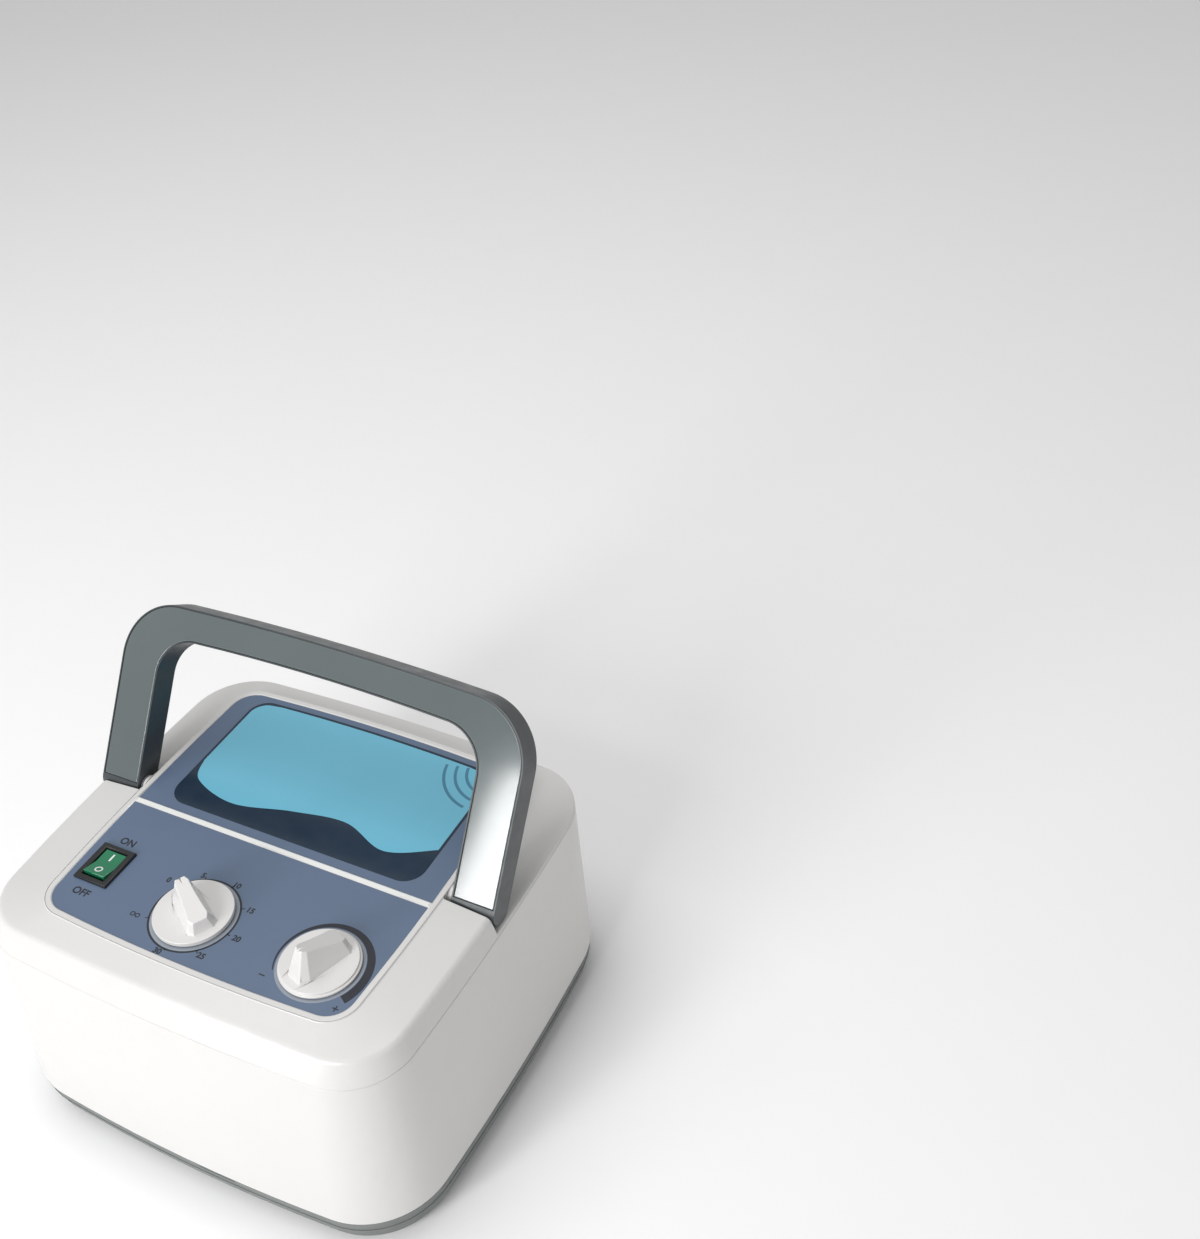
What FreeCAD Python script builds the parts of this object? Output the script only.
import FreeCAD, Part
import Sketcher
import math
import os
import re
from FreeCAD import Placement, Rotation, Vector

# Air pump console with a folding carrying handle.
# Frame: X to the right, Y to the rear, Z up. The origin is on the floor, under the middle of the body.

doc = FreeCAD.newDocument("pump_console")
sheet = doc.addObject("Spreadsheet::Sheet", "Sizes")

SIZES = {
    # body: outlines at the foot of the housing, at the seam and at the deck's edge
    "wall": 2.5,
    "housing_half": 116.0,
    "housing_length": 214.5,
    "housing_corner": 40.0,
    "housing_side_bow": 4.4,
    "housing_end_bow": 6.5,
    "seam_side_inset": 3.4,
    "seam_front_inset": 10.05,
    "seam_rear_inset": 2.25,
    "seam_corner": 32.0,
    "seam_side_bow": 3.6,
    "seam_end_bow": 4.5,
    "deck_side_inset": 3.0,
    "deck_front_inset": 7.8,
    "deck_rear_inset": 2.0,
    "deck_corner": 27.0,
    "deck_side_bow": 4.0,
    "deck_end_bow": 1.8,
    # heights of the body, each from the one below it
    "foot_height": 4.0,
    "tray_height": 15.5,
    "housing_height": 89.0,
    "ledge_rise": 1.5,
    "deck_rise": 11.1,
    "border_rise": 2.3,
    "panel_rise": 2.4,
    "rim_rise": 0.4,
    "deck_edge_radius": 3.5,
    "tray_taper": 2.6,
    "tray_edge_radius": 3.0,
    "lip_height": 3.0,
    "lip_wall": 1.5,
    "lip_clearance": 0.2,
    "tray_lip_clearance": 0.7,
    # control and display panels
    "panel_front_margin": 22.8,
    "panel_corner": 12.0,
    "panel_side_bow": 2.5,
    "panel_end_bow": 3.2,
    "panel_rim": 3.0,
    "sheet_thickness": 0.5,
    "sheet_gap": 0.1,
    "control_length": 69.55,
    "divider_width": 2.9,
    "window_side_margin": 12.4,
    "window_front_margin": 4.95,
    "window_rear_margin": 3.4,
    "window_rear_bow": 2.3,
    "window_corner": 10.0,
    # carrying handle
    "handle_side_gap": 1.6,
    "handle_rear_gap": 1.85,
    "leg_width": 22.0,
    "bar_width": 15.5,
    "handle_corner": 30.0,
    "handle_inner_corner": 20.0,
    "handle_bow": 1.8,
    "handle_thickness": 14.0,
    "face_thickness": 2.4,
    "face_margin": 0.7,
    "face_gap": 0.05,
    "face_foot": 1.0,
    "handle_lean": 34.8,
    "handle_running_gap": 0.3,
    "fold_gap": 0.75,
    "pivot_gap": 3.1,
    "pivot_back": 9.9,
    "pin_radius": 3.0,
    "pin_depth": 8.9,
    "pin_end_gap": 4.0,
    "pivot_boss_radius": 4.9,
    "washer_thickness": 0.6,
    "running_clearance": 0.05,
    # rocker switch
    "switch_side_margin": 15.0,
    "switch_front_margin": 31.1,
    "bezel_width": 18.6,
    "bezel_length": 22.0,
    "bezel_rise": 1.6,
    "switch_width": 16.4,
    "switch_length": 19.6,
    "switch_depth": 22.0,
    "rocker_width": 12.0,
    "rocker_half_length": 7.9,
    "rocker_gap": 0.3,
    "rocker_tilt": 8.0,
    "rocker_pin_radius": 1.5,
    "rocker_pivot_drop": 2.6,
    "terminal_length": 8.0,
    # knobs
    "timer_across": -10.9,
    "timer_front_margin": 24.4,
    "timer_pointer": 148.0,
    "pressure_side_margin": 26.1,
    "pressure_front_margin": 24.4,
    "pressure_pointer": 252.0,
    "knob_radius": 18.2,
    "knob_gap": 0.6,
    "skirt_thickness": 2.2,
    "grip_height": 15.0,
    "grip_nose_inset": 4.3,
    "grip_nose_half": 4.3,
    "grip_nose_slope": 6.3,
    "grip_cheek_step": 4.1,
    "grip_cheek_half": 6.4,
    "grip_hip_step": 2.5,
    "grip_hip_half": 7.2,
    "grip_tail_inset": 4.2,
    "grip_tail_half": 4.6,
    "grip_tail_slope": 3.0,
    "grip_ridge_half": 2.1,
    "grip_fall": 23.0,
    "grip_notch_half": 0.6,
    "grip_notch_depth": 1.3,
    "grip_round": 0.6,
    "knob_socket_depth": 7.0,
    "spindle_radius": 3.0,
    "bush_radius": 4.8,
    "bush_rise": 1.5,
    "bush_hole_gap": 0.2,
    "nut_flats": 13.0,
    "nut_thickness": 1.6,
    "timer_case": 42.0,
    "timer_case_depth": 26.0,
    "timer_shoulder": 4.0,
    "regulator_radius": 11.0,
    "regulator_depth": 32.0,
    "spring_wire": 0.35,
    "spring_turns": 5.0,
    # fasteners
    "screw_radius": 1.5,
    "screw_head_radius": 2.9,
    "screw_head_height": 2.0,
    "post_radius": 5.0,
    "post_side_inset": 17.6,
    "post_front_inset": 17.2,
    "post_rear_inset": 19.0,
    "post_drop": 16.5,
    "post_screw_depth": 12.0,
    "tray_screw_side_inset": 46.0,
    "tray_screw_end_inset": 11.25,
    "foot_radius": 8.0,
    "foot_stem_radius": 2.4,
    "foot_side_inset": 36.0,
    "foot_end_inset": 33.25,
    # diaphragm pump
    "pump_across": -38.0,
    "pump_rear_inset": 67.25,
    "pump_post_height": 3.5,
    "pump_mount_height": 6.0,
    "pump_mount_radius": 6.0,
    "pump_mount_inset": 9.0,
    "pump_plate": 3.0,
    "pump_half": 37.0,
    "pump_width": 62.0,
    "pump_axis_rise": 29.0,
    "pump_wall_height": 54.0,
    "core_half": 24.0,
    "core_height": 32.0,
    "core_depth": 19.0,
    "core_leg": 14.0,
    "core_slot": 10.0,
    "core_slot_depth": 12.0,
    "rod_radius": 3.0,
    "armature_height": 16.0,
    "armature_length": 44.0,
    "armature_thickness": 9.0,
    "air_gap": 1.2,
    "armature_travel": 1.2,
    "membrane_radius": 15.0,
    "membrane_thickness": 1.4,
    "head_length": 16.0,
    "head_width": 40.0,
    # rotary air distributor
    "distributor_along": 20.0,
    "motor_radius": 24.0,
    "motor_seat_height": 3.5,
    "motor_height": 28.0,
    "stator_height": 16.0,
    "stator_radius": 22.0,
    "port_spacing": 8.4,
    "port_circle": 14.0,
    "rotor_radius": 16.0,
    "rotor_thickness": 4.0,
    "cap_height": 12.0,
    "cap_screw_inset": 2.7,
    "shaft_radius": 2.5,
    # rear wall fittings
    "bay_depth": 8.25,
    "outlet_shift": 6.4,
    "outlet_spacing": 18.0,
    "outlet_bore": 4.0,
    "outlet_tube": 6.2,
    "outlet_length": 17.0,
    "outlet_bay_width": 80.0,
    "outlet_bay_height": 26.0,
    "inlet_side_inset": 46.0,
    "inlet_rise": 24.5,
    "inlet_bay_width": 40.0,
    "inlet_bay_height": 26.0,
    "inlet_pin_spacing": 8.6,
    "terminal_from_front": 81.25,
    "terminal_half": 14.0,
    "terminal_width": 16.0,
    "terminal_height": 12.0,
    "hose_radius": 2.4,
    "nipple_radius": 1.6,
    "lead_radius": 1.2,
}

# Places and sizes that follow from those above.
WORKED = {
    "housing_front": "-housing_length / 2",
    "housing_rear": "housing_length / 2",
    "seam_half": "housing_half - seam_side_inset",
    "seam_front": "housing_front + seam_front_inset",
    "seam_rear": "housing_rear - seam_rear_inset",
    "deck_half": "seam_half - deck_side_inset",
    "deck_front": "seam_front + deck_front_inset",
    "deck_rear": "seam_rear - deck_rear_inset",
    "tray_top": "foot_height + tray_height",
    "tray_floor": "foot_height + wall",
    "seam_height": "tray_top + housing_height",
    "ledge_height": "seam_height + ledge_rise",
    "deck_height": "seam_height + deck_rise",
    "border_height": "deck_height + border_rise",
    "panel_height": "deck_height + panel_rise",
    "cover_underside": "panel_height - sheet_thickness - wall",
    "handle_half": "seam_half - handle_side_gap",
    "handle_inner_half": "handle_half - leg_width",
    "handle_top": "seam_rear - handle_rear_gap - handle_bow - pivot_back",
    "handle_inner_top": "handle_top - bar_width",
    "panel_half": "handle_inner_half - pivot_gap - panel_rim",
    "panel_front": "seam_front + panel_front_margin",
    "panel_rear": "pivot_back + handle_inner_top + handle_bow - fold_gap - panel_rim",
    "divider_front": "panel_front + control_length",
    "divider_rear": "divider_front + divider_width",
    "window_half": "panel_half - window_side_margin",
    "window_front": "divider_rear + window_front_margin",
    "window_rear": "panel_rear - window_rear_margin",
    "notch_wall": "pivot_back - handle_thickness / 2 - handle_running_gap",
    "pivot_height": "ledge_height + handle_running_gap + handle_thickness / 2",
    "pivot_boss_half": "handle_inner_half - washer_thickness - handle_running_gap",
    "pin_inner": "panel_half + panel_rim - pin_depth",
    "pin_outer": "handle_half - pin_end_gap",
    "switch_across": "-panel_half + switch_side_margin",
    "switch_along": "panel_front + switch_front_margin",
    "rocker_pivot": "panel_height + bezel_rise - rocker_pivot_drop",
    "timer_along": "panel_front + timer_front_margin",
    "pressure_across": "panel_half - pressure_side_margin",
    "pressure_along": "panel_front + pressure_front_margin",
    "skirt_low": "panel_height + knob_gap",
    "skirt_top": "skirt_low + skirt_thickness",
    "regulator_low": "cover_underside - regulator_depth",
    "post_across": "seam_half - post_side_inset",
    "post_front": "seam_front + post_front_inset",
    "post_rear": "seam_rear - post_rear_inset",
    "post_top": "seam_height - post_drop",
    "post_shelf": "post_top - post_screw_depth",
    "tray_screw_across": "housing_half - tray_screw_side_inset",
    "tray_screw_front": "housing_front + tray_screw_end_inset",
    "tray_screw_rear": "housing_rear - tray_screw_end_inset",
    "foot_across": "housing_half - foot_side_inset",
    "foot_front": "housing_front + foot_end_inset",
    "foot_rear": "housing_rear - foot_end_inset",
    "pump_along": "housing_rear - pump_rear_inset",
    "pump_seat": "tray_floor + pump_post_height",
    "pump_base": "pump_seat + pump_mount_height",
    "pump_axis": "pump_base + pump_axis_rise",
    "pump_wall_top": "pump_base + pump_wall_height",
    "distributor_across": "pressure_across",
    "motor_base": "tray_floor + motor_seat_height",
    "motor_top": "motor_base + motor_height",
    "stator_top": "motor_top + stator_height",
    "port_height": "motor_top + stator_height / 2",
    "bay_floor": "housing_rear - bay_depth",
    "outlet_across": "distributor_across - outlet_shift",
    "outlet_height": "port_height",
    "inlet_across": "inlet_side_inset - housing_half",
    "inlet_height": "tray_top + inlet_rise",
    "terminal_along": "housing_front + terminal_from_front",
}

for row, (alias, value) in enumerate(SIZES.items(), start=1):
    sheet.set(f"A{row}", alias)
    sheet.set(f"B{row}", str(value))
    sheet.setAlias(f"B{row}", alias)
doc.recompute()
worked = doc.addObject("Spreadsheet::Sheet", "Worked")


def named_cells(formula):
    """The formula with each alias led by the name of its sheet."""
    def cell(word):
        alias = word.group(0)
        if alias in SIZES:
            return "Sizes." + alias
        return "Worked." + alias if alias in WORKED else alias
    return re.sub(r"[A-Za-z_]+[A-Za-z_0-9]*", cell, str(formula))


for row, (alias, formula) in enumerate(WORKED.items(), start=1):
    worked.set(f"A{row}", alias)
    worked.set(f"B{row}", "=" + named_cells(formula).replace("Worked.", ""))
    worked.setAlias(f"B{row}", alias)
    doc.recompute()


def size(alias):
    """The value in the cell of that alias."""
    return float((sheet if alias in SIZES else worked).get(alias))


def bind(thing, prop, formula):
    """Tie a property to a formula of aliases."""
    thing.setExpression(prop, named_cells(formula))


def place(thing, across="0", along="0", up="0"):
    """Tie the three coordinates of a placement to formulas."""
    for axis, formula in zip("xyz", (across, along, up)):
        bind(thing, "Placement.Base." + axis, formula)
    return thing


# ---- solids from primitives ----

def block(name, x_low, x_high, y_low, y_high, z_low, z_high):
    """A box between six formulas."""
    box = doc.addObject("Part::Box", name)
    bind(box, "Length", f"({x_high}) - ({x_low})")
    bind(box, "Width", f"({y_high}) - ({y_low})")
    bind(box, "Height", f"({z_high}) - ({z_low})")
    return place(box, x_low, y_low, z_low)


TURN = {
    "x": Rotation(Vector(0, 1, 0), 90),
    "y": Rotation(Vector(1, 0, 0), -90),
    "z": Rotation(),
}


def rod(name, axis, low, high, radius, across="0", along="0", up="0"):
    """A cylinder along one axis, from low to high, through a point of the other two coordinates."""
    bar = doc.addObject("Part::Cylinder", name)
    bind(bar, "Radius", radius)
    bind(bar, "Height", f"({high}) - ({low})")
    bar.Placement = Placement(Vector(), TURN[axis])
    start = {"x": across, "y": along, "z": up}
    start[axis] = low
    return place(bar, start["x"], start["y"], start["z"])


def cone(name, low, high, radius_low, radius_high, across="0", along="0"):
    """A cone along Z."""
    horn = doc.addObject("Part::Cone", name)
    bind(horn, "Radius1", radius_low)
    bind(horn, "Radius2", radius_high)
    bind(horn, "Height", f"({high}) - ({low})")
    return place(horn, across, along, low)


def join(name, *parts):
    """One solid of several."""
    fused = doc.addObject("Part::MultiFuse", name)
    fused.Shapes = list(parts)
    fused.Refine = True
    return fused


def cut(name, base, *tools):
    """Base less all the tools."""
    taken = doc.addObject("Part::Cut", name)
    taken.Base = base
    taken.Tool = tools[0] if len(tools) == 1 else join(name + "_tools", *tools)
    taken.Refine = True
    return taken


def common(name, first, second):
    """What two solids share."""
    shared = doc.addObject("Part::MultiCommon", name)
    shared.Shapes = [first, second]
    return shared


def group(name, parts):
    """Identical pieces in one object, each a solid of its own."""
    several = doc.addObject("Part::Compound", name)
    several.Links = list(parts)
    return several


def ring(name, axis, low, high, radius, hole, across="0", along="0", up="0"):
    """A tube along one axis."""
    outside = rod(name + "_outside", axis, low, high, radius, across, along, up)
    inside = rod(name + "_hole", axis, f"{low} - 1", f"{high} + 1", hole, across, along, up)
    return cut(name, outside, inside)


# ---- sketches and bodies ----

def new_body(name):
    return doc.addObject("PartDesign::Body", name)


def sketch_on(body, name, plane="XY_Plane", offset="0"):
    """An empty sketch on one of the body's origin planes."""
    sketch = body.newObject("Sketcher::SketchObject", name)
    support = [feature for feature in body.Origin.OriginFeatures if feature.Role == plane]
    sketch.AttachmentSupport = [(support[0], "")]
    sketch.MapMode = "FlatFace"
    bind(sketch, "AttachmentOffset.Base.z", offset)
    return sketch


def draw_circle(sketch, radius, x="0", y="0"):
    """A circle whose radius and centre are tied to formulas."""
    index = sketch.addGeometry(Part.Circle(Vector(1, 1, 0), Vector(0, 0, 1), 1), False)
    for kind, formula in (("Radius", radius), ("DistanceX", x), ("DistanceY", y)):
        if kind == "Radius":
            rule = sketch.addConstraint(Sketcher.Constraint(kind, index, 1.0))
        else:
            rule = sketch.addConstraint(Sketcher.Constraint(kind, -1, 1, index, 3, 1.0))
        bind(sketch, f"Constraints[{rule}]", formula)


def draw_rectangle(sketch, x_low, x_high, y_low, y_high):
    """A rectangle between four formulas."""
    corners = [Vector(0, 0, 0), Vector(9, 0, 0), Vector(9, 9, 0), Vector(0, 9, 0)]
    first = len(sketch.Geometry)
    for start, end in zip(corners, corners[1:] + corners[:1]):
        sketch.addGeometry(Part.LineSegment(start, end), False)
    for step in range(4):
        following = first + (step + 1) % 4
        sketch.addConstraint(Sketcher.Constraint("Coincident", first + step, 2, following, 1))
        sketch.addConstraint(Sketcher.Constraint("Vertical" if step % 2 else "Horizontal", first + step))
    places = (("DistanceX", 0, x_low), ("DistanceY", 0, y_low), ("DistanceX", 2, x_high), ("DistanceY", 2, y_high))
    for kind, line, formula in places:
        rule = sketch.addConstraint(Sketcher.Constraint(kind, -1, 1, first + line, 1, 1.0))
        bind(sketch, f"Constraints[{rule}]", formula)


def draw_polygon(sketch, points):
    """A closed line through points given in the sketch's own plane."""
    corners = [Vector(x, y, 0) for x, y in points]
    for start, end in zip(corners, corners[1:] + corners[:1]):
        sketch.addGeometry(Part.LineSegment(start, end), False)


def pad(body, sketch, length, midplane=False):
    """Raise a sketch by a formula."""
    feature = body.newObject("PartDesign::Pad", sketch.Name + "_pad")
    feature.Profile = sketch
    bind(feature, "Length", length)
    feature.Midplane = midplane
    return feature


def pocket(body, sketch, length, upwards, both_ways=False):
    """Cut a sketch into the body by a formula, up or down along the sketch's normal."""
    feature = body.newObject("PartDesign::Pocket", sketch.Name + "_pocket")
    feature.Profile = sketch
    bind(feature, "Length", length)
    feature.Reversed = upwards
    feature.Midplane = both_ways
    return feature


def loft(body, name, sketches):
    """Join sketches of matching edges."""
    feature = body.newObject("PartDesign::AdditiveLoft", name)
    feature.Profile = sketches[0]
    feature.Sections = sketches[1:]
    feature.Ruled = True
    return feature


def round_edges(body, name, radius, wanted):
    """Fillet the edges of the body that a test picks."""
    doc.recompute()
    base = body.Tip
    names = [f"Edge{i}" for i, edge in enumerate(base.Shape.Edges, start=1) if wanted(edge)]
    feature = body.newObject("PartDesign::Fillet", name)
    feature.Base = (base, names)
    bind(feature, "Radius", radius)
    return feature


def lies_at(height, tolerance=0.01):
    """A test for edges that lie flat at one height."""
    def test(edge):
        box = edge.BoundBox
        return abs(box.ZMin - height) < tolerance and abs(box.ZMax - height) < tolerance
    return test


# ---- bowed outlines ----

def meeting(first, first_radius, second, second_radius, side):
    """Where two circles cross, on the given side of the line between their centres."""
    apart = second - first
    distance = apart.Length
    along = (distance ** 2 + first_radius ** 2 - second_radius ** 2) / (2 * distance)
    off = math.sqrt(first_radius ** 2 - along ** 2)
    unit = apart / distance
    return first + unit * along + Vector(-unit.y, unit.x, 0) * off * side


class Outline:
    """A rounded rectangle whose four sides are shallow arcs, tangent to the corner arcs."""

    def __init__(self, name, rear=None):
        self.half = size(name + "_half")
        self.front = size(name + "_front")
        self.rear = size(name + "_rear")
        self.corner = size(name + "_corner")
        self.side_bow = size(name + "_side_bow")
        self.end_bow = size(name + "_end_bow")

    def arcs(self, offset=0.0):
        """Eight arcs from the front left corner round by the right, moved outwards by offset."""
        middle = (self.front + self.rear) / 2
        length = (self.rear - self.front) / 2
        side_radius = (length ** 2 + self.side_bow ** 2) / (2 * self.side_bow)
        end_radius = (self.half ** 2 + self.end_bow ** 2) / (2 * self.end_bow)
        right = Vector(self.half - side_radius, middle, 0)
        front = Vector(0, self.front + end_radius, 0)
        rear = Vector(0, self.rear - end_radius, 0)
        front_corner = meeting(front, end_radius - self.corner, right, side_radius - self.corner, 1)
        rear_corner = meeting(rear, end_radius - self.corner, right, side_radius - self.corner, -1)

        def touch(centre, corner, radius):
            return centre + (corner - centre).normalize() * (radius + offset)

        p1 = touch(front, front_corner, end_radius)
        p2 = touch(right, front_corner, side_radius)
        p3 = touch(right, rear_corner, side_radius)
        p4 = touch(rear, rear_corner, end_radius)
        grown = self.corner + offset

        def knee(corner, start, end):
            return corner + ((start + end) / 2 - corner).normalize() * grown

        def mirrored(point):
            return Vector(-point.x, point.y, 0)

        front_middle = Vector(0, self.front - offset, 0)
        rear_middle = Vector(0, self.rear + offset, 0)
        right_middle = Vector(self.half + offset, middle, 0)
        k1 = knee(front_corner, p1, p2)
        k2 = knee(rear_corner, p3, p4)
        return [
            Part.Arc(mirrored(p1), front_middle, p1),
            Part.Arc(p1, k1, p2),
            Part.Arc(p2, right_middle, p3),
            Part.Arc(p3, k2, p4),
            Part.Arc(p4, rear_middle, mirrored(p4)),
            Part.Arc(mirrored(p4), mirrored(k2), mirrored(p3)),
            Part.Arc(mirrored(p3), mirrored(right_middle), mirrored(p2)),
            Part.Arc(mirrored(p2), mirrored(k1), mirrored(p1)),
        ]


HOUSING = Outline("housing")
SEAM = Outline("seam")
DECK = Outline("deck")
PANEL = Outline("panel")


def outline_sketch(body, name, outline, height, offset=0.0):
    """The outline as a sketch at a height."""
    sketch = sketch_on(body, name, "XY_Plane", height)
    for arc in outline.arcs(offset):
        sketch.addGeometry(arc, False)
    return sketch


def slab(name, outline, low, high, offset=0.0):
    """The outline raised from one height to another."""
    body = new_body(name)
    pad(body, outline_sketch(body, name + "_outline", outline, low, offset), f"({high}) - ({low})")
    return body


def tapered(name, sections):
    """A loft through (outline, height formula, offset) sections."""
    body = new_body(name)
    sketches = [outline_sketch(body, f"{name}_section_{i}", *section) for i, section in enumerate(sections)]
    loft(body, name + "_loft", sketches)
    return body


NODES = []


def node(label, thing):
    """Name a finished sub-part, which names its file."""
    thing.Label = label
    NODES.append(thing)
    return thing


def corner_points():
    """Formulas of the four cover screw places."""
    return [(side + "post_across", along) for along in ("post_front", "post_rear") for side in ("-", "")]


def tray_screw_points():
    return [(side + "tray_screw_across", along)
            for along in ("tray_screw_front", "tray_screw_rear") for side in ("-", "")]


def foot_points():
    return [(side + "foot_across", along) for along in ("foot_front", "foot_rear") for side in ("-", "")]


def outwards(place_of, near, far):
    """Two formulas, in rising order, of a span that leads away from the middle of the body."""
    if size(place_of.lstrip("-")) < 0 or place_of.startswith("-"):
        return f"{place_of} - {far}", f"{place_of} - {near}"
    return f"{place_of} + {near}", f"{place_of} + {far}"


def at_points(name, points, maker):
    """The same solid at each point, numbered."""
    return [maker(f"{name}_{i}", across, along) for i, (across, along) in enumerate(points, start=1)]


# ---- casing ----

def make_top_cover():
    """The white cover: sloping border, raised panel platform, and the handle's ledge round its rear half."""
    wall = size("wall")
    rim = size("panel_rim")
    form = tapered("cover_form", [(SEAM, "seam_height", 0.0), (DECK, "deck_height", 0.0)])
    round_top = [outline_sketch(form, "border_low", DECK, "deck_height"),
                 outline_sketch(form, "border_high", PANEL, "border_height", rim)]
    loft(form, "border_loft", round_top)
    round_edges(form, "deck_edge", "deck_edge_radius", lies_at(size("deck_height")))
    platform = slab("platform", PANEL, "ledge_height - 1", "panel_height + rim_rise", rim)
    bosses = [rod("pivot_boss_right", "x", "pin_inner - 1", "pivot_boss_half", "pivot_boss_radius",
                  along="pivot_back", up="pivot_height"),
              rod("pivot_boss_left", "x", "-pivot_boss_half", "-pin_inner + 1", "pivot_boss_radius",
                  along="pivot_back", up="pivot_height")]
    ledge_block = block("ledge_block", "-housing_half", "housing_half", "notch_wall", "housing_rear",
                        "ledge_height", "panel_height + 9")
    ledge_cut = cut("ledge_cut", ledge_block, slab("platform_core", PANEL, "seam_height", "panel_height + 9", rim))
    outside = join("cover_outside", cut("cover_stepped", form, ledge_cut), platform)
    hollow_front = common(
        "hollow_front",
        tapered("hollow_form", [(SEAM, "seam_height - 1", -wall), (DECK, "deck_height - wall", -wall)]),
        block("hollow_front_side", "-housing_half", "housing_half", "housing_front", "notch_wall - wall",
              "seam_height - 2", "deck_height"))
    hollow_platform = slab("hollow_platform", PANEL, "ledge_height - wall - 1",
                           "panel_height - sheet_thickness - wall", rim - wall)
    shell = cut("cover_shell", outside, hollow_front, hollow_platform)
    ledge_floor = common(
        "ledge_floor",
        slab("ledge_floor_area", SEAM, "ledge_height - wall", "ledge_height - 0.5", -wall - size("lip_clearance")),
        block("ledge_floor_side", "-housing_half", "housing_half", "notch_wall - wall", "housing_rear",
              "seam_height - 2", "deck_height"))
    ledge_plate = cut("ledge_plate", ledge_floor, slab(
        "ledge_floor_room", PANEL, "ledge_height - wall - 1", "ledge_height", rim - wall))
    lip = cut("lip", slab("lip_outside", SEAM, "seam_height - lip_height", "seam_height + 0.5",
                          -wall - size("lip_clearance")),
              slab("lip_inside", SEAM, "seam_height - lip_height - 1", "seam_height + 2",
                   -wall - size("lip_clearance") - size("lip_wall")))
    ledge_join = cut("lip_join", slab("lip_join_outside", SEAM, "seam_height", "ledge_height - 0.5", -wall / 2),
                     slab("lip_join_inside", SEAM, "seam_height - 1", "ledge_height + 1",
                          -wall - size("lip_clearance") - size("lip_wall")))
    posts = at_points("cover_post", corner_points(), lambda name, across, along: rod(
        name, "z", "post_top", "ledge_height - wall + 0.5", "post_radius", across, along))
    solid = join("cover_solid", shell, ledge_plate, lip, ledge_join, *posts, *bosses)
    recess_control = common(
        "recess_control", slab("recess_control_area", PANEL, "panel_height - sheet_thickness", "panel_height + 3"),
        block("recess_control_side", "-housing_half", "housing_half", "housing_front", "divider_front",
              "panel_height - 3", "panel_height + 6"))
    recess_display = common(
        "recess_display", slab("recess_display_area", PANEL, "panel_height - sheet_thickness", "panel_height + 3"),
        block("recess_display_side", "-housing_half", "housing_half", "divider_rear",
              "housing_rear", "panel_height - 3", "panel_height + 6"))
    holes = at_points("cover_screw_hole", corner_points(), lambda name, across, along: rod(
        name, "z", "post_top - 1", "post_top + 12", "screw_radius - 0.1", across, along))
    holes += [
        rod("pin_bore", "x", "-housing_half", "housing_half", "pin_radius + running_clearance",
            along="pivot_back", up="pivot_height"),
        rod("timer_hole", "z", "deck_height - 9", "panel_height + 9", "bush_radius + bush_hole_gap",
            "timer_across", "timer_along"),
        rod("pressure_hole", "z", "deck_height - 9", "panel_height + 9", "bush_radius + bush_hole_gap",
            "pressure_across", "pressure_along"),
        block("switch_hole", "switch_across - switch_width / 2 - 0.2", "switch_across + switch_width / 2 + 0.2",
              "switch_along - switch_length / 2 - 0.2", "switch_along + switch_length / 2 + 0.2",
              "deck_height - 9", "panel_height + 9"),
    ]
    node("top_cover", cut("cover", solid, recess_control, recess_display, *holes))


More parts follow.
